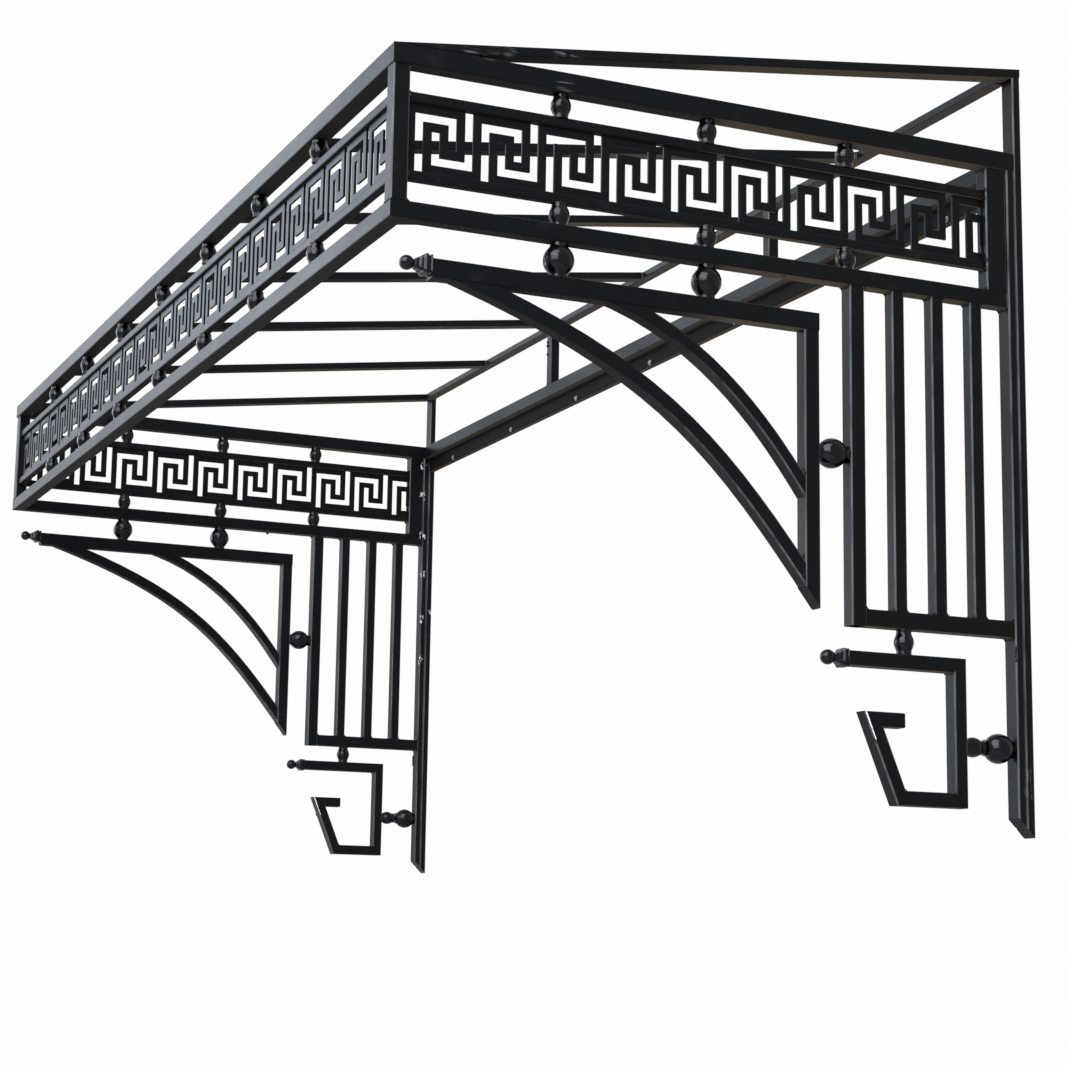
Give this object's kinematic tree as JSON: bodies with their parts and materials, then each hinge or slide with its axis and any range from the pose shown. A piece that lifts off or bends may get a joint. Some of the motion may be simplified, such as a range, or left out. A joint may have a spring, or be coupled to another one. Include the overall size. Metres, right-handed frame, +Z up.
{
  "type": "wall canopy frame",
  "caption": "Wall-mounted canopy frame of dark painted metal tube, with meander fret panels, ball spacers, curved side brackets, grilles, hooks and a sloping rafter roof.",
  "frame": {"origin": "on the wall plane, at the middle of the wall rail's back face", "axes": "+X along the canopy's width, +Y into the wall, +Z up. The canopy reaches out towards -Y."},
  "size_m": [3.4708, 1.4471, 1.661],
  "materials": {
    "frame": "satin black paint",
    "finial": "glossy black paint"
  },
  "bodies": {
    "root": {"front_bottom_rail": "frame", "front_fret_bottom_bar": "frame", "front_fret_plate": "frame", "front_fret_top_bar": "frame", "front_top_rail": "frame", "high_rail": "frame", "left_bottom_rail": "frame", "left_bracket_finial": "finial", "left_bracket_inner_arc": "frame", "left_bracket_outer_arc": "frame", "left_bracket_rear_bar": "frame", "left_bracket_top_bar": "frame", "left_fret_bottom_bar": "frame", "left_fret_plate": "frame", "left_fret_top_bar": "frame", "left_front_upright": "frame", "left_grille_bar_1": "frame", "left_grille_bar_2": "frame", "left_grille_bar_3": "frame", "left_grille_bottom_bar": "frame", "left_grille_front_bar": "frame", "left_hook": "frame", "left_hook_finial": "finial", "left_middle_upright": "frame", "left_post": "frame", "left_rear_upright": "frame", "left_top_rail": "frame", "left_wall_post": "frame", "rafter_1": "frame", "rafter_2": "frame", "rafter_3": "frame", "rafter_4": "frame", "rafter_5": "frame", "rafter_6": "frame", "rafter_7": "frame", "rear_top_rail": "frame", "right_bottom_rail": "frame", "right_bracket_finial": "finial", "right_bracket_inner_arc": "frame", "right_bracket_outer_arc": "frame", "right_bracket_rear_bar": "frame", "right_bracket_top_bar": "frame", "right_fret_bottom_bar": "frame", "right_fret_plate": "frame", "right_fret_top_bar": "frame", "right_front_upright": "frame", "right_grille_bar_1": "frame", "right_grille_bar_2": "frame", "right_grille_bar_3": "frame", "right_grille_bottom_bar": "frame", "right_grille_front_bar": "frame", "right_hook": "frame", "right_hook_finial": "finial", "right_middle_upright": "frame", "right_post": "frame", "right_rear_upright": "frame", "right_top_rail": "frame", "right_wall_post": "frame", "wall_rail": "frame"}
  },
  "joints": []
}
